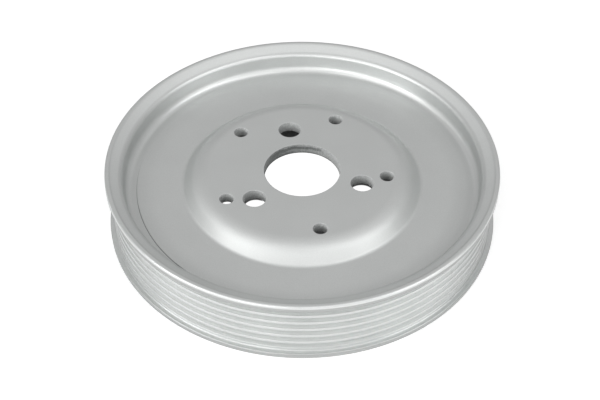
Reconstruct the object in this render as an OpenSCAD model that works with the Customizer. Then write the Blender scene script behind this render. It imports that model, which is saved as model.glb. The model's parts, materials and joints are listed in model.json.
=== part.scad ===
/* [Rim] */
// Outside diameter of the two belt flanges
flange_d = 157; // [155:0.5:165]
// Full height of the rim, from the face it rests on to the top of the lip
rim_h = 28.3; // [28:0.1:34]
// Thickness of the upper belt flange at its edge
lip_t = 3; // [2.4:0.1:3.4]
// Thickness of the lower belt flange at its edge
foot_flange_t = 2.2; // [1.4:0.1:2.4]
// Inside diameter of the rim above the web
dish_d = 143; // [141:0.5:144]
// Inside diameter of the rim below the web
back_d = 142.6; // [141:0.2:144]
// Slope of the flared inside of the lip, from level
flare_angle = 27; // [20:1:32]

/* [Belt grooves] */
// Number of V grooves
groove_count = 6; // [4:1:6]
// Distance from one groove to the next
groove_pitch = 3.56; // [3.5:0.01:3.6]
// Angle between the two flanks of a groove
groove_angle = 40; // [36:1:42]
// Diameter over the ridges
crest_d = 153; // [152:0.5:154]
// Depth of a groove below the ridges
groove_depth = 2.5; // [2.2:0.05:2.6]
// Width of the flat at the bottom of a groove
groove_root_w = 0.46; // [0.44:0.01:0.6]

/* [Web and hub] */
// Thickness of the sheet
sheet_t = 4.5; // [3:0.1:5]
// Height of the web's upper face
web_z = 16.9; // [15:0.1:18]
// Height of the hub's upper face
hub_z = 22.8; // [22:0.1:24]
// Diameter where the hub's sloping side would meet the web
hub_foot_d = 95.8; // [92:0.2:98]
// Slope of the hub's side, from level
hub_slope = 41; // [38:1:50]
// Radius of the bend at the hub's shoulder
shoulder_r = 7.5; // [5.5:0.1:8]
// Radius of the bend at the hub's foot
hub_foot_r = 3.2; // [1:0.1:4]
// Radius between the web and the rim
web_fillet_r = 3.5; // [2:0.1:4]

/* [Holes] */
// Diameter of the centre bore
bore_d = 30.4; // [28:0.1:34]
// Number of large bolt holes
bolt_count = 3; // [3:1:4]
// Diameter of a large bolt hole
bolt_d = 9; // [7:0.1:9.5]
// Diameter of the circle through the large bolt holes
bolt_pcd = 50.2; // [49:0.1:52]
// Direction of the first large bolt hole, from the X axis
bolt_from = 102; // [0:1:120]
// Number of small holes
small_count = 5; // [3:1:6]
// Diameter of a small hole
small_d = 5.5; // [4:0.1:6]
// Diameter of the circle through the small holes
small_pcd = 68.2; // [68:0.1:70]
// Direction of the first small hole, from the X axis
small_from = 66; // [0:1:90]

/* [Rolled seam] */
// Radius of the fine line that the rolling left on the web
seam_r = 66.6; // [64:0.1:67]
// Width and depth of that line
seam_w = 0.3; // [0.2:0.05:0.5]
// Direction in which the line starts
seam_from = 166; // [0:1:270]
// Angle that the line runs over
seam_sweep = 70; // [20:1:90]

/* [Hidden] */
silver = [0.69, 0.70, 0.69];
round_fn = 180;
arc_steps = 5;
lip_edge_r = 0.9;
flange_edge_r = 0.5;
flange_root_r = 0.8;
ridge_edge_r = 0.4;
groove_root_r = 0.2;
lip_bend_r = 2;
bore_edge_r = 0.3;
back_edge_r = 1.2;
back_fillet_r = 2.5;
over = 1;

flange_r = flange_d / 2;
dish_r = dish_d / 2;
back_r = back_d / 2;
crest_r = crest_d / 2;
root_r = crest_r - groove_depth;
groove_mouth_w = groove_root_w + 2 * groove_depth * tan(groove_angle / 2);

// The grooves stand midway between the two flanges
belt_top_z = rim_h - lip_t;
belt_mid_z = (belt_top_z + foot_flange_t) / 2;
first_groove_z = belt_mid_z + (groove_count - 1) / 2 * groove_pitch;

// The lip's corner stands above the rim by what its rounding takes off
lip_corner_z = rim_h + lip_edge_r * ((1 + sin(flare_angle)) / cos(flare_angle) - 1);
flare_foot_z = lip_corner_z - (flange_r - dish_r) * tan(flare_angle);

// The lower face of the sheet runs parallel to the upper one
hub_foot_r1 = hub_foot_d / 2;
shoulder_r1 = hub_foot_r1 - (hub_z - web_z) / tan(hub_slope);
bend_shift = sheet_t * tan(hub_slope / 2);

function unit(v) = v / norm(v);
function place(corner) = [corner[0], corner[1]];

// Arc of the given radius that rounds the corner p between the directions a and b
function corner_arc(p, a, b, radius) =
    let (
        half = acos(a * b) / 2,
        centre = p + unit(a + b) * radius / sin(half),
        from = p + a * radius / tan(half) - centre,
        to = p + b * radius / tan(half) - centre,
        turn = 180 - 2 * half
    )
    [
        for (k = [0 : arc_steps])
            centre + (from * sin(turn * (1 - k / arc_steps)) + to * sin(turn * k / arc_steps)) / sin(turn)
    ];

// Closed outline through corners [radius from the axis, height, rounding]
function rounded(corners) =
    let (n = len(corners))
    [
        for (i = [0 : n - 1])
            let (
                p = place(corners[i]),
                a = unit(place(corners[(i + n - 1) % n]) - p),
                b = unit(place(corners[(i + 1) % n]) - p)
            )
            each corner_arc(p, a, b, corners[i][2])
    ];

function groove_corners(z) = [
    [crest_r, z + groove_mouth_w / 2, ridge_edge_r],
    [root_r, z + groove_root_w / 2, groove_root_r],
    [root_r, z - groove_root_w / 2, groove_root_r],
    [crest_r, z - groove_mouth_w / 2, ridge_edge_r]
];

upper_face = [
    [bore_d / 2, hub_z, bore_edge_r],
    [shoulder_r1, hub_z, shoulder_r],
    [hub_foot_r1, web_z, hub_foot_r],
    [dish_r, web_z, web_fillet_r],
    [dish_r, flare_foot_z, lip_bend_r],
    [flange_r, lip_corner_z, lip_edge_r]
];

belt_face = [
    [flange_r, belt_top_z, flange_edge_r],
    [crest_r, belt_top_z, flange_root_r],
    for (i = [0 : groove_count - 1])
        each groove_corners(first_groove_z - i * groove_pitch),
    [crest_r, foot_flange_t, flange_root_r],
    [flange_r, foot_flange_t, flange_edge_r]
];

lower_face = [
    [flange_r, 0, flange_edge_r],
    [back_r, 0, back_edge_r],
    [back_r, web_z - sheet_t, back_fillet_r],
    [hub_foot_r1 - bend_shift, web_z - sheet_t, hub_foot_r + sheet_t],
    [shoulder_r1 - bend_shift, hub_z - sheet_t, shoulder_r - sheet_t],
    [bore_d / 2, hub_z - sheet_t, bore_edge_r]
];

module hole_circle(count, diameter, pcd, from) {
    for (i = [0 : count - 1])
        rotate([0, 0, from + i * 360 / count])
            translate([pcd / 2, 0, hub_z - sheet_t - over])
                cylinder(d = diameter, h = sheet_t + 2 * over, $fn = 48);
}

module rolled_seam() {
    rotate([0, 0, seam_from])
        rotate_extrude(angle = seam_sweep, $fn = round_fn)
            polygon([
                [seam_r - seam_w / 2, web_z + seam_w],
                [seam_r, web_z - seam_w / 2],
                [seam_r + seam_w / 2, web_z + seam_w]
            ]);
}

module pulley() {
    color(silver)
        difference() {
            rotate_extrude($fn = round_fn)
                polygon(rounded(concat(upper_face, belt_face, lower_face)));
            hole_circle(bolt_count, bolt_d, bolt_pcd, bolt_from);
            hole_circle(small_count, small_d, small_pcd, small_from);
            rolled_seam();
        }
}

pulley();
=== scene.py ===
import json
import math
import bmesh
import bpy
from mathutils import Matrix, Vector, noise


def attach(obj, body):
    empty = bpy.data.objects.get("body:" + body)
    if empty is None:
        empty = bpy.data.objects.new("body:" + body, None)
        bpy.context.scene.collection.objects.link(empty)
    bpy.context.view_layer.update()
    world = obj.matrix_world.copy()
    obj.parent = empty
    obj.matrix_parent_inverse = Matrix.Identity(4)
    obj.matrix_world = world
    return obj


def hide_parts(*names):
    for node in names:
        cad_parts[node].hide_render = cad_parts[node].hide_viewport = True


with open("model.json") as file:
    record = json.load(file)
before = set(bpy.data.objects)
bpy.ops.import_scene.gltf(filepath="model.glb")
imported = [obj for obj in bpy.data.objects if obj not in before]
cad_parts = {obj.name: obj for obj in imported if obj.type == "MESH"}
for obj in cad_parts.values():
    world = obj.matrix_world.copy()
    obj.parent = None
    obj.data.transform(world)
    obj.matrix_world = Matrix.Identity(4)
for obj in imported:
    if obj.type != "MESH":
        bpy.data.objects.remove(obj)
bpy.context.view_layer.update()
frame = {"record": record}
mounts = {mount["name"]: mount for mount in frame["record"]["mounts"]}
mm = 0.001
print("frame loaded")

# Settings that several nodes share
times = {"operation": "MULTIPLY"}
timesPlus = {"operation": "MULTIPLY_ADD"}
larger = {"operation": "MAXIMUM"}
length = {"operation": "LENGTH"}
softly = {"interpolation_type": "SMOOTHSTEP"}
inColour = {"data_type": "RGBA"}


def addNode(tree, kind, settings=None, inputs=None):
    # Each input is a value, or the output that is linked to it. A Mix node takes numbers at its inputs 2
    # and 3, or colours at 6 and 7, and gives colours at its output 2
    node = tree.nodes.new("ShaderNode" + kind)
    for name, value in (settings or {}).items():
        setattr(node, name, value)
    for name, value in (inputs or {}).items():
        if isinstance(value, bpy.types.NodeSocket):
            tree.links.new(value, node.inputs[name])
        else:
            node.inputs[name].default_value = value
    return node


def fromHex(code):
    # sRGB hex to the linear colour that shaders expect
    parts = [int(code[i:i + 2], 16) / 255 for i in (1, 3, 5)]
    return [c / 12.92 if c <= 0.04045 else ((c + 0.055) / 1.055) ** 2.4 for c in parts] + [1.0]


def newMaterial(name):
    material = bpy.data.materials.new(name)
    material.use_nodes = True
    material.node_tree.nodes.clear()
    return material, material.node_tree


cameraSet = {
    "place": (0.0, -380.1, 369.83),  # millimetres
    "lens": 76.94,
    "sensorWidth": 36.0,
    "lookDown": 43.75,               # degrees below level
    "turnLeft": 0.092,
    "roll": 0.26,
    "seesFrom": 0.02,                # metres
    "seesTo": 50.0,
}


def makeCamera(s):
    camera = bpy.data.objects.new("camera", bpy.data.cameras.new("camera"))
    bpy.context.scene.collection.objects.link(camera)
    camera.data.lens = s["lens"]
    camera.data.sensor_width = s["sensorWidth"]
    camera.data.clip_start = s["seesFrom"]
    camera.data.clip_end = s["seesTo"]
    camera.location = Vector(s["place"]) * mm
    camera.rotation_mode = "ZYX"     # roll first, then the turn, then the tilt
    camera.rotation_euler = [math.radians(a) for a in (90 - s["lookDown"], s["turnLeft"], s["roll"])]
    bpy.context.scene.camera = camera


makeCamera(cameraSet)
print("camera placed")

# Matt white paper: white all round the pulley, with a faint soft shadow at most; under it the paper's colour
# is painted dark as its shade
floorSet = {
    "radius": 6.0,                   # metres
    "steps": 96,
    "below": 0.05,                   # millimetres from the rim down to the floor
    "colour": "#f8f8f8",
    "white": 0.3,                    # what the floor's white adds for the eye and in reflections
    # Painted shade: inside this radius the paper's own colour is darkened to stand in for the pulley's shade
    "shadeRadius": 72.0,             # millimetres; inside it the floor lies in the pulley's shade
    "shadeEdge": 1.0,
    "shade": 0.22,                   # its colour there, as a share of the open floor's
    # Painted pools of light: where light through the bore and three of the other holes would land, the paper
    # glows white for the eye and in reflections
    "paintedPools": [
        {"at": (0.0, 22.0), "size": (17.0, 16.0)},
        {"at": (0.0, 2.0), "size": (17.5, 11.0)},
        {"at": (-19.2, 1.8), "size": (4.8, 4.4)},
        {"at": (25.0, 11.4), "size": (4.8, 4.1)},
        {"at": (-31.3, 3.6), "size": (2.2, 1.6)},
    ],
    "patchEdge": 0.04,
}


def makePaper(s):
    material, tree = newMaterial("white paper floor")
    place = addNode(tree, "TexCoord").outputs["Object"]
    radius = addNode(tree, "VectorMath", length, {0: place}).outputs["Value"]
    inner = (s["shadeRadius"] - s["shadeEdge"]) * mm
    outer = (s["shadeRadius"] + s["shadeEdge"]) * mm
    lit = addNode(tree, "MapRange", None, {"Value": radius, "From Min": inner, "From Max": outer}).outputs[0]
    # Painted pools of light on the shaded paper under the pulley
    paintedPools = 0.0
    for patch in s["paintedPools"]:
        middle = [c * mm for c in patch["at"]] + [0]
        reach = [c * mm for c in patch["size"]] + [1]
        offset = addNode(tree, "VectorMath", {"operation": "SUBTRACT"}, {0: place, 1: middle}).outputs[0]
        scaled = addNode(tree, "VectorMath", {"operation": "DIVIDE"}, {0: offset, 1: reach}).outputs[0]
        away = addNode(tree, "VectorMath", length, {0: scaled}).outputs["Value"]
        values = {"Value": away, "From Min": 1 + s["patchEdge"], "From Max": 1 - s["patchEdge"]}
        inside = addNode(tree, "MapRange", None, values).outputs[0]
        paintedPools = addNode(tree, "Math", larger, {0: inside, 1: paintedPools}).outputs[0]

    # The added white shows to the camera, in reflections and through glass, and lights nothing
    path = addNode(tree, "LightPath").outputs
    seen = path["Is Camera Ray"]
    for ray in ("Is Glossy Ray", "Is Transmission Ray"):
        seen = addNode(tree, "Math", larger, {0: seen, 1: path[ray]}).outputs[0]
    white = addNode(tree, "Math", times, {0: lit, 1: s["white"]}).outputs[0]
    white = addNode(tree, "Math", larger, {0: white, 1: paintedPools}).outputs[0]
    white = addNode(tree, "Math", times, {0: seen, 1: white}).outputs[0]
    glow = addNode(tree, "Emission", None, {"Color": (1, 1, 1, 1), "Strength": white})
    # Painted shade: the paper's colour is darkened under the pulley
    bright = fromHex(s["colour"])
    paintedShadeTone = [c * s["shade"] for c in bright[:3]] + [1.0]
    tone = addNode(tree, "Mix", inColour, {0: lit, 6: paintedShadeTone, 7: bright}).outputs[2]
    paper = addNode(tree, "BsdfDiffuse", None, {"Color": tone})
    both = addNode(tree, "AddShader", None, {0: paper.outputs[0], 1: glow.outputs[0]})
    addNode(tree, "OutputMaterial", None, {"Surface": both.outputs[0]})
    return material


def makeFloor(s):
    bm = bmesh.new()
    bmesh.ops.create_circle(bm, cap_ends=True, segments=s["steps"], radius=s["radius"])
    bmesh.ops.translate(bm, verts=bm.verts, vec=(0, 0, -s["below"] * mm))
    mesh = bpy.data.meshes.new("floor")
    bm.to_mesh(mesh)
    bm.free()
    mesh.materials.append(makePaper(s))
    floor = bpy.data.objects.new("floor", mesh)
    bpy.context.scene.collection.objects.link(floor)


makeFloor(floorSet)
print("floor laid")

# Softboxes: "at" is the turn from the camera's side and the height, in degrees, and the distance in metres
lights = {
    "leftBox": {"at": (-68, 43, 1.4), "size": (1.15, 0.65), "watts": 2.42},
    "leftHigh": {"at": (-45, 64, 1.4), "size": (0.6, 0.4), "watts": 0.7},
    "leftBack": {"at": (-108, 21, 1.4), "size": (0.6, 0.4), "watts": 0.35},
    "rightTop": {"at": (128, 64, 1.4), "size": (0.6, 0.4), "watts": 0.11},
    "leftLow": {"at": (-60, 18, 1.4), "size": (0.8, 0.4), "watts": 3.96},
    "frontLeft": {"at": (-22, 17, 1.5), "size": (0.6, 0.35), "watts": 2.86},
    "frontRight": {"at": (18, 17, 1.5), "size": (0.9, 0.35), "watts": 0.79},
    "frontHigh": {"at": (2, 45, 1.4), "size": (1.1, 0.3), "watts": 0.9},
    "front": {"at": (0, 31, 1.5), "size": (1.7, 0.25), "watts": 1.36},
    "rightBox": {"at": (70, 42, 1.4), "size": (0.9, 0.55), "watts": 2.39},
    "rightHigh": {"at": (45, 64, 1.4), "size": (0.6, 0.4), "watts": 0.88},
    "rightLow": {"at": (56, 14, 1.4), "size": (0.9, 0.5), "watts": 2.35},
}
# Plain grey room, darker towards its floor
studioSet = {
    "grey": 0.69,                    # overhead
    "horizon": 0.48,                 # share of that at the horizon
}


def makeLight(name, s):
    turn, height = (math.radians(a) for a in s["at"][:2])
    away = Vector((math.sin(turn) * math.cos(height), -math.cos(turn) * math.cos(height), math.sin(height)))
    data = bpy.data.lights.new(name, "AREA")
    data.shape = "RECTANGLE"
    data.size, data.size_y = s["size"]
    data.energy = s["watts"]
    light = bpy.data.objects.new(name, data)
    bpy.context.scene.collection.objects.link(light)
    light.location = away * s["at"][2]
    light.rotation_mode = "QUATERNION"
    light.rotation_quaternion = away.to_track_quat("Z", "Y")


def makeStudio(s):
    world = bpy.data.worlds.new("studio")
    bpy.context.scene.world = world
    world.use_nodes = True
    tree = world.node_tree
    background = tree.nodes["Background"]
    background.inputs["Strength"].default_value = s["grey"]
    direction = addNode(tree, "TexCoord").outputs["Generated"]
    height = addNode(tree, "SeparateXYZ", None, {0: direction}).outputs["Z"]
    fade = addNode(tree, "MapRange", None, {"Value": height, "To Min": s["horizon"]})
    tree.links.new(fade.outputs[0], background.inputs["Color"])


for lightName, lightSet in lights.items():
    makeLight(lightName, lightSet)
makeStudio(studioSet)
bpy.context.scene.view_settings.view_transform = "Standard"
print("lights placed")

# Millimetres and degrees, with heights from the rim's lower face
pulleySizes = {
    "flangeRadius": 78.5,
    "rimHeight": 28.3,
    "lipThickness": 3.0,
    "footFlangeThickness": 2.2,
    "dishRadius": 71.5,
    "backRadius": 71.3,
    "flareFoot": 25.3,
    "landRadius": 76.8,              # the lip is flat from here outwards
    "grooves": 6,
    "groovePitch": 3.56,
    "grooveAngle": 40.0,
    "crestRadius": 76.5,
    "grooveDepth": 2.5,
    "grooveRootWidth": 0.46,
    "hubHeight": mounts["hub_front"]["pos_m"][2] / mm,
    "hubUnderside": mounts["hub_back"]["pos_m"][2] / mm,
    "webHeight": 16.9,
    "hubFootRadius": 48.0,
    "hubSlope": 44.0,
    "shoulderRounding": 10.2,
    "footRounding": 2.4,
    "webRounding": 3.5,
    "webRiseFrom": 63.6,             # the outer web rises a little towards the rim
    "webRise": 4.0,
    "webRiseRounding": 70.0,
    "lipBend": 2.0,
    "landBend": 0.8,
    "lipEdge": 0.8,
    "flangeEdge": 0.5,
    "flangeRoot": 0.5,
    "ridgeEdge": 0.25,
    "grooveRoot": 0.2,
    "backEdge": 1.2,
    "backRounding": 2.5,
    "flatEdge": 0.05,                # the hub's flat starts this far inside its shoulder's bend
    "steps": 288,                    # round the axis
    "arcStep": 18.0,                 # turn of a rounding from one edge to the next
    "moreSteps": 0.7,                # steps that each millimetre of rounding adds
    "mostSteps": 6,                  # the most that it adds
    "tolerance": 0.001,              # points closer than this are one
    # The fine line that the rolling pressed into the web: it fades in and out, and widens before its end
    "seam": {
        "radius": 66.6,
        "width": 0.3,
        "depth": 0.22,
        "sides": 0.8,                # depth beside its middle at the wide end, as a share
        "from": 170.0,
        "fadeIn": 28.0,
        "widens": 205.0,
        "fadeOut": 5.0,
        "to": 242.5,
    },
    # Punched holes, with radii and circles from the record's mounts: "first" is the direction of the first
    # one, "edge" rounds the mouths and "push" is how deep the wall is torn. In the bore a strip is torn more
    # than the rest, and the depth of its middle is "strip"
    "holes": [
        {
            "mount": "centre_bore", "first": 0.0, "edge": 0.3, "push": 0.12, "rows": 14, "steps": 384,
            "strip": 1.6, "stripHeight": 1.7, "stripFrom": 50.0, "stripTo": 128.0,
        },
        {"mount": "pump_bolts", "first": 102.0, "edge": 0.35, "push": 0.08, "rows": 10, "steps": 96},
        {"mount": "small_holes", "first": 66.0, "edge": 0.35, "push": 0.05, "rows": 8, "steps": 56},
    ],
    "punch": {
        "mouthRing": 0.35,           # width of the flat ring round each mouth
        "darkestSide": 175.0,           # the direction in which every hole's wall is darkest
        "grain": 2.6,                # waves in a millimetre round the wall, and half as many down it
        "drag": 3.7,                 # the same for the marks that the punch dragged down the wall
        "dragDown": 0.4,
        "mouthReach": 1.6,           # how far down the upper mouth is torn, in mouth roundings
        "coatReach": 0.15,           # how far the coat's colour goes into the mouth, in the same
        "pushByDrag": 0.4,
        # What each of these adds to the tearing, which goes from 0 to 1
        "byAll": -0.1,
        "bySide": 0.5,
        "byGrain": 0.25,
        "byDrag": 0.15,
        "byUpperMouth": 0.35,
        "byLowerMouth": 0.45,
        "byStrip": 0.5,
        "bySideInBore": 0.35,
        # How far the strip strays up and down, and its waves in a millimetre
        "stripWaves": [(0.45, 0.5), (0.3, 1.7)],
        "stripEdge": (0.6, 1.1),     # where it fades, in half heights from its middle
        "stripFade": 12.0,           # degrees over which its two ends fade
        "stripReach": 25.0,          # how much further round it runs on the torn side
        "burr": 0.55,                # height of the dark burr at the bore's lower mouth
    },
}


def drawChain(bm, s, corners, centre):
    # Draws corners (radius, height, rounding) as a chain of edges, with each rounding spun from one vertex
    points = [(Vector((r, 0, z)) + centre) * mm for r, z, _ in corners]
    ends = []
    for i, p in enumerate(points):
        rounding = corners[i][2] * mm
        if rounding == 0:
            v = bm.verts.new(p)
            ends.append((v, v))
            continue
        before = (points[i - 1] - p).normalized()
        after = (points[i + 1] - p).normalized()
        half = before.angle(after) / 2
        turn = math.pi - 2 * half
        axis = after.cross(before)
        middle = p + (before + after).normalized() * rounding / math.sin(half)
        more = min(s["moreSteps"] * corners[i][2], s["mostSteps"])
        steps = round(math.degrees(turn) / s["arcStep"] + more)
        first = bm.verts.new(p + before * rounding / math.tan(half))
        spun = bmesh.ops.spin(bm, geom=[first], cent=middle, axis=axis, angle=turn, steps=steps)
        ends.append((first, [g for g in spun["geom_last"] if isinstance(g, bmesh.types.BMVert)][0]))
    for last, following in zip(ends, ends[1:]):
        bm.edges.new((last[1], following[0]))


def addSpun(bm, s, corners, centre, steps):
    # Spins an eighth of a turn, doubles it three times and adds it to the mesh
    part = bmesh.new()
    drawChain(part, s, corners, centre)
    chain = part.verts[:] + part.edges[:]
    middle = centre * mm
    bmesh.ops.spin(part, geom=chain, cent=middle, axis=(0, 0, 1), angle=math.pi / 4, steps=steps // 8)
    for turn in (45, 90, 180):
        copy = bmesh.ops.duplicate(part, geom=part.verts[:] + part.edges[:] + part.faces[:])
        copied = [g for g in copy["geom"] if isinstance(g, bmesh.types.BMVert)]
        matrix = Matrix.Rotation(math.radians(turn), 3, "Z")
        bmesh.ops.rotate(part, verts=copied, cent=middle, matrix=matrix)
    bmesh.ops.remove_doubles(part, verts=part.verts, dist=s["tolerance"] * mm)
    mesh = bpy.data.meshes.new("spun")
    part.to_mesh(mesh)
    part.free()
    bm.from_mesh(mesh)
    bpy.data.meshes.remove(mesh)


def webSurface(s, radius):
    # Height of the web's outer part, before its roundings
    return s["webHeight"] + (radius - s["webRiseFrom"]) * math.tan(math.radians(s["webRise"]))


def upperFace(s, shoulder, bendReach):
    corners = [
        (shoulder - s["shoulderRounding"] * bendReach - s["flatEdge"], s["hubHeight"], 0),
        (shoulder, s["hubHeight"], s["shoulderRounding"]),
        (s["hubFootRadius"], s["webHeight"], s["footRounding"]),
        (s["webRiseFrom"], s["webHeight"], s["webRiseRounding"]),
    ]
    for step in (-2, -1, 0, 1, 2):
        r = s["seam"]["radius"] + step * s["seam"]["width"] / 2
        corners.append((r, webSurface(s, r), 0))
    return corners + [
        (s["dishRadius"], webSurface(s, s["dishRadius"]), s["webRounding"]),
        (s["dishRadius"], s["flareFoot"], s["lipBend"]),
        (s["landRadius"], s["rimHeight"], s["landBend"]),
        (s["flangeRadius"], s["rimHeight"], s["lipEdge"]),
    ]


def beltFace(s):
    top, foot = s["rimHeight"] - s["lipThickness"], s["footFlangeThickness"]
    root = s["crestRadius"] - s["grooveDepth"]
    narrow = s["grooveRootWidth"] / 2
    wide = narrow + s["grooveDepth"] * math.tan(math.radians(s["grooveAngle"] / 2))
    firstGroove = (top + foot) / 2 + (s["grooves"] - 1) / 2 * s["groovePitch"]
    corners = [
        (s["flangeRadius"], top, s["flangeEdge"]),
        (s["crestRadius"], top, s["flangeRoot"]),
    ]
    for i in range(s["grooves"]):
        z = firstGroove - i * s["groovePitch"]
        corners += [
            (s["crestRadius"], z + wide, s["ridgeEdge"]),
            (root, z + narrow, s["grooveRoot"]),
            (root, z - narrow, s["grooveRoot"]),
            (s["crestRadius"], z - wide, s["ridgeEdge"]),
        ]
    return corners + [
        (s["crestRadius"], foot, s["flangeRoot"]),
        (s["flangeRadius"], foot, s["flangeEdge"]),
    ]


def lowerFace(s, shoulder, bendReach):
    # The sheet's lower face runs parallel to the upper one
    sheet = s["hubHeight"] - s["hubUnderside"]
    web = s["webHeight"] - sheet
    shift = sheet * bendReach
    rounding = s["shoulderRounding"] - sheet
    return [
        (s["flangeRadius"], 0, s["flangeEdge"]),
        (s["backRadius"], 0, s["backEdge"]),
        (s["backRadius"], web, s["backRounding"]),
        (s["hubFootRadius"] - shift, web, s["footRounding"] + sheet),
        (shoulder - shift, s["hubUnderside"], rounding),
        (shoulder - shift - rounding * bendReach - s["flatEdge"], s["hubUnderside"], 0),
    ]


def pulleySection(s):
    hubRise = s["hubHeight"] - s["webHeight"]
    shoulder = s["hubFootRadius"] - hubRise / math.tan(math.radians(s["hubSlope"]))
    bendReach = math.tan(math.radians(s["hubSlope"] / 2))
    return upperFace(s, shoulder, bendReach) + beltFace(s) + lowerFace(s, shoulder, bendReach)


def findHoles(s):
    # Every single hole, with its radius and its centre
    holes = []
    for h in s["holes"]:
        dims = mounts[h["mount"]]["dims"]
        radius = dims.get("hole_r_mm") or dims["r_mm"]
        circle, count = dims.get("pcd_mm", 0) / 2, dims.get("count", 1)
        for i in range(count):
            a = math.radians(h["first"] + 360 / count * i)
            centre = Vector((circle * math.cos(a), circle * math.sin(a), 0))
            holes.append({**h, "radius": radius, "centre": centre})
    return holes


def holeSection(s, h):
    # Wall of a hole, with a narrow flat ring around each mouth
    top, bottom = s["hubHeight"], s["hubUnderside"]
    radius, edge, rows = h["radius"], h["edge"], h["rows"]
    ring = radius + edge + s["punch"]["mouthRing"]
    high, low = top - edge, bottom + edge
    wall = [(radius, high + (low - high) * k / rows, 0) for k in range(1, rows)]
    return [(ring, top, 0), (radius, top, edge)] + wall + [(radius, bottom, edge), (ring, bottom, 0)]


def clamp(value):
    return max(0.0, min(1.0, value))


def stripShare(h, punch, place, depth, turn, side):
    # 1 in the bore's ragged strip and 0 outside it, with soft edges
    stray = sum(reach * noise.noise(place * waves) for reach, waves in punch["stripWaves"])
    across = abs(depth - h["strip"] - stray) / (h["stripHeight"] / 2)
    angle = math.degrees(turn) % 360
    end = h["stripTo"] + punch["stripReach"] * side
    along = min(angle - h["stripFrom"], end - angle) / punch["stripFade"]
    fadeFrom, fadeTo = punch["stripEdge"]
    return clamp((fadeTo - across) / (fadeTo - fadeFrom)) * clamp(along + stray)


def tearWall(bm, s, h, layers):
    # The punch tears the wall, rough all round and in the bore along a ragged strip, and each wall is darker
    # on one side
    top, sheet, close, punch = s["hubHeight"], s["hubHeight"] - s["hubUnderside"], s["tolerance"], s["punch"]
    for v in bm.verts:
        out = Vector((v.co.x, v.co.y, 0)) / mm - h["centre"]
        depth = top - v.co.z / mm
        if out.length > h["radius"] + h["edge"] + close or depth < close:
            continue
        turn = math.atan2(out.y, out.x)
        place = Vector((math.cos(turn), math.sin(turn), 0)) * h["radius"] + h["centre"]
        grain = noise.noise((place + Vector((0, 0, depth / 2))) * punch["grain"])
        drag = noise.noise(place * punch["drag"] + Vector((depth, 0, depth * punch["dragDown"])))
        side = 0.5 + 0.5 * math.cos(turn - math.radians(punch["darkestSide"]))
        torn = punch["byAll"] + punch["bySide"] * side + punch["byGrain"] * grain + punch["byDrag"] * drag
        torn += punch["byUpperMouth"] * max(0.0, 1 - depth / (punch["mouthReach"] * h["edge"]))
        torn += punch["byLowerMouth"] * depth / sheet
        if "strip" in h:
            torn += punch["byStrip"] * stripShare(h, punch, place, depth, turn, side)
            torn += punch["bySideInBore"] * side
            v[layers["line"]] = float(depth > sheet - punch["burr"])
        v[layers["wall"]] = min(1.0, depth / (punch["coatReach"] * h["edge"]))
        v[layers["torn"]] = clamp(torn)
        if h["edge"] - close < depth < sheet - h["edge"] + close:
            v.co += out.normalized() * h["push"] * (torn + punch["pushByDrag"] * drag) * mm


def pressSeam(bm, s, line):
    seam = s["seam"]
    for v in bm.verts:
        x, y, z = v.co / mm
        ring = abs(math.hypot(x, y) - seam["radius"]) / (seam["width"] / 2)  # 0 in the middle, 1 beside it
        angle = math.degrees(math.atan2(y, x)) % 360
        if ring > 1.5 or z < s["webHeight"] or not seam["from"] < angle < seam["to"]:
            continue
        share = min(1.0, (angle - seam["from"]) / seam["fadeIn"], (seam["to"] - angle) / seam["fadeOut"])
        if ring > 0.5:
            share *= seam["sides"] * max(0.0, (angle - seam["widens"]) / (seam["to"] - seam["widens"]))
        v.co.z -= seam["depth"] * share * mm
        v[line] = share


def closeFlat(bm, s, height):
    # Fills the flat between the hub's shoulder and the holes' rings
    edges = []
    for e in bm.edges:
        if len(e.link_faces) == 1 and all(abs(v.co.z / mm - height) < s["tolerance"] for v in e.verts):
            edges.append(e)
    bmesh.ops.triangle_fill(bm, use_beauty=True, edges=edges)


def makePulley(s):
    holes = findHoles(s)
    bm = bmesh.new()
    for h in holes:
        addSpun(bm, s, holeSection(s, h), h["centre"], h["steps"])
    layers = {name: bm.verts.layers.float.new(name + "Share") for name in ("wall", "torn", "line")}
    for h in holes:
        tearWall(bm, s, h, layers)
    addSpun(bm, s, pulleySection(s), Vector((0, 0, 0)), s["steps"])
    pressSeam(bm, s, layers["line"])
    closeFlat(bm, s, s["hubHeight"])
    closeFlat(bm, s, s["hubUnderside"])
    bmesh.ops.recalc_face_normals(bm, faces=bm.faces)
    mesh = bpy.data.meshes.new("pulleyBody")
    bm.to_mesh(mesh)
    openEdges = sum(len(e.link_faces) != 2 for e in bm.edges)
    triangles = sum(len(f.verts) - 2 for f in bm.faces)
    print("open edges", openEdges, "triangles", triangles)
    bm.free()
    mesh.shade_smooth()
    body = bpy.data.objects.new("pulleyBody", mesh)
    bpy.context.scene.collection.objects.link(body)
    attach(body, "root")
    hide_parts("pulley")
    smooth = body.modifiers.new("flat faces stay flat", "WEIGHTED_NORMAL")
    smooth.mode = "FACE_AREA"
    smooth.weight = 50
    return body


pulleyBody = makePulley(pulleySizes)
print("pulley made")
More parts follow.
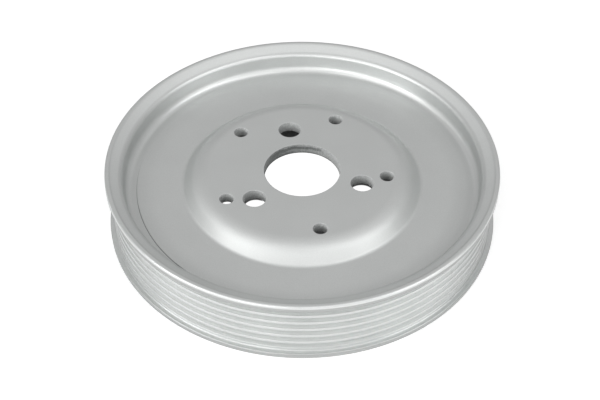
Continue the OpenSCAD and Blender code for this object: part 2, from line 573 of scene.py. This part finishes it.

# Zinc flake coating, dipped and baked on spun steel sheet: a satin silver grey without mirror images, finely
# grained, and rougher and duller on the punched walls. Painted shade darkens it towards the web's rolled
# corner, on the ridges, in the flanges' roots and on the flanges' edges, and painted light lightens the
# grooves
coatingSet = {
    "colour": "#dcdedd",
    "grazingTint": "#e0e0e0",        # the binder between the flakes dulls the coat at grazing angles
    "metallic": 0.9,
    "roughness": 0.33,
    # Millimetres from one grain to the next, and octaves
    "grains": {
        "cloud": (18.0, 2.0),
        "flake": (0.4, 1.0),         # real flakes are 0.02 mm, too fine to show, so they are drawn coarser
        "peel": (1.5, 1.0),          # slight waviness of the dipped coat
        "drag": (0.5, 2.0),          # on the punched walls
    },
    "spinLines": 0.45,               # spacing of the lines that the rollers left round the axis
    "heights": {"flake": 0.0004, "peel": 0.0004, "spin": 0.0007, "drag": 0.02},  # of the relief
    "cloudRange": (0.3, 0.7),        # the noise mostly stays between these
    "cloudShade": 0.025,
    "flakeRange": (0.25, 0.75),
    "flakeShade": 0.05,
    "flakeRoughness": 0.06,
    "wallColour": "#d0d2d1",
    "tornColour": "#707372",
    "wallMetallic": 0.15,
    "wallRoughness": 0.55,
    "lineColour": "#484a49",         # the rolled line and the burr
    # Rings that are rougher than the rest, or darker with painted shade, or lighter with painted light where
    # "darker" is below 0. Each comes in between the two radii "from" and goes out between the two radii
    # "to", and some also come in between the two heights "above" or go out between the two heights "below"
    "rings": {
        "hubBend": {"from": (38.5, 42.0), "to": (47.6, 49.0), "rougher": 0.12},  # stretched round the hub
        # Painted shade that deepens towards the rim's wall, deepest in the web's corner
        "web": {"from": (58.5, 66.5), "to": (68.2, 69.8), "paintedDarker": 0.08},
        "webCornerPaintedShade": {"from": (65.5, 67.5), "to": (68.2, 69.8), "paintedDarker": 0.05},
        "dishWall": {"from": (70.4, 71.4), "to": (71.6, 72.4), "rougher": 0.1},
        # Lighter here is painted light for the grooves, which also lightens the flare at these radii; the
        # rougher coat is the coat's own
        "grooves": {"from": (72.9, 73.4), "to": (75.9, 76.4), "paintedDarker": -0.08, "rougher": 0.14},
        # Painted shade on the ridges' outer faces, for the shaded floor that they reflect
        "ridges": {
            "from": (75.9, 76.4), "to": (76.65, 76.8), "above": (3.4, 3.9), "below": (26.8, 27.5),
            "paintedDarker": 0.12,
        },
        # Painted shade in the creases at the flanges' roots
        "flangeRootPaintedShade": {"from": (76.52, 76.58), "to": (76.65, 76.8), "below": (26.8, 27.5), "paintedDarker": 0.1},
        # Painted shade on the flanges' outer sides, for the shaded floor that they reflect
        "flangeEdgePaintedShade": {"from": (78.2, 78.4), "below": (26.8, 27.5), "paintedDarker": 0.4},
    },
}


def ringShare(tree, ring, radius, height):
    # 1 in the ring and 0 outside it, with soft edges
    places = {"from": radius, "to": radius, "above": height, "below": height}
    share = 1.0
    for limit, place in places.items():
        if limit not in ring:
            continue
        start, end = (c * mm for c in ring[limit])
        values = {"Value": place, "From Min": start, "From Max": end}
        if limit in ("to", "below"):
            values.update({"To Min": 1.0, "To Max": 0.0})
        edge = addNode(tree, "MapRange", softly, values).outputs[0]
        share = addNode(tree, "Math", times, {0: edge, 1: share}).outputs[0]
    return share


def makeCoating(s):
    material, tree = newMaterial("silver zinc flake coating")
    place = addNode(tree, "TexCoord").outputs["Object"]
    height = addNode(tree, "SeparateXYZ", None, {0: place}).outputs["Z"]
    flat = addNode(tree, "VectorMath", times, {0: place, 1: (1, 1, 0)}).outputs[0]
    radius = addNode(tree, "VectorMath", length, {0: flat}).outputs["Value"]
    grains = {}
    for name, (size, octaves) in s["grains"].items():
        values = {"Vector": place, "Scale": 1 / (size * mm), "Detail": octaves}
        grains[name] = addNode(tree, "TexNoise", None, values).outputs["Fac"]
    values = {"W": radius, "Scale": 1 / (s["spinLines"] * mm), "Detail": 1.0}
    grains["spin"] = addNode(tree, "TexNoise", {"noise_dimensions": "1D"}, values).outputs["Fac"]
    shares = {}
    for name in ("wall", "torn", "line"):
        shares[name] = addNode(tree, "Attribute", {"attribute_name": name + "Share"}).outputs["Fac"]

    # Clouds and flakes all over, then the rings' painted shade and light
    cloud = {"Value": grains["cloud"], "From Min": s["cloudRange"][0], "From Max": s["cloudRange"][1]}
    flake = {"Value": grains["flake"], "From Min": s["flakeRange"][0], "From Max": s["flakeRange"][1]}
    shade = addNode(tree, "MapRange", softly, {**cloud, "To Min": 1 - s["cloudShade"]}).outputs[0]
    flakes = addNode(tree, "MapRange", softly, {**flake, "To Min": 1 - s["flakeShade"]}).outputs[0]
    shade = addNode(tree, "Math", times, {0: shade, 1: flakes}).outputs[0]
    change = s["flakeRoughness"] / 2
    ends = {"To Min": s["roughness"] - change, "To Max": s["roughness"] + change}
    rough = addNode(tree, "MapRange", softly, {**flake, **ends}).outputs[0]
    for ring in s["rings"].values():
        share = ringShare(tree, ring, radius, height)
        if "paintedDarker" in ring:
            left = addNode(tree, "Math", timesPlus, {0: share, 1: -ring["paintedDarker"], 2: 1.0}).outputs[0]
            shade = addNode(tree, "Math", times, {0: shade, 1: left}).outputs[0]
        if "rougher" in ring:
            rough = addNode(tree, "Math", timesPlus, {0: share, 1: ring["rougher"], 2: rough}).outputs[0]
    values = {0: fromHex(s["colour"])[:3], "Scale": shade}
    colour = addNode(tree, "VectorMath", {"operation": "SCALE"}, values).outputs[0]

    # The punched walls, the rolled line and the burr have colours of their own
    values = {0: shares["torn"], 6: fromHex(s["wallColour"]), 7: fromHex(s["tornColour"])}
    wall = addNode(tree, "Mix", inColour, values).outputs[2]
    colour = addNode(tree, "Mix", inColour, {0: shares["wall"], 6: colour, 7: wall}).outputs[2]
    values = {0: shares["line"], 6: colour, 7: fromHex(s["lineColour"])}
    colour = addNode(tree, "Mix", inColour, values).outputs[2]
    rough = addNode(tree, "Mix", None, {0: shares["wall"], 2: rough, 3: s["wallRoughness"]}).outputs[0]
    values = {"Value": shares["wall"], "To Min": s["metallic"], "To Max": s["wallMetallic"]}
    metallic = addNode(tree, "MapRange", softly, values).outputs[0]

    # Relief in metres, summed for one bump, with the drag marks on the punched walls only
    grains["drag"] = addNode(tree, "Math", times, {0: grains["drag"], 1: shares["wall"]}).outputs[0]
    relief = 0.0
    for name, depth in s["heights"].items():
        relief = addNode(tree, "Math", timesPlus, {0: grains[name], 1: depth * mm, 2: relief}).outputs[0]
    bump = addNode(tree, "Bump", None, {"Height": relief, "Distance": 1.0}).outputs[0]
    values = {"Base Color": colour, "Metallic": metallic, "Roughness": rough, "Normal": bump}
    values["Specular Tint"] = fromHex(s["grazingTint"])
    shader = addNode(tree, "BsdfPrincipled", None, values)
    addNode(tree, "OutputMaterial", None, {"Surface": shader.outputs[0]})
    return material


pulleyBody.data.materials.append(makeCoating(coatingSet))
print("finish made")
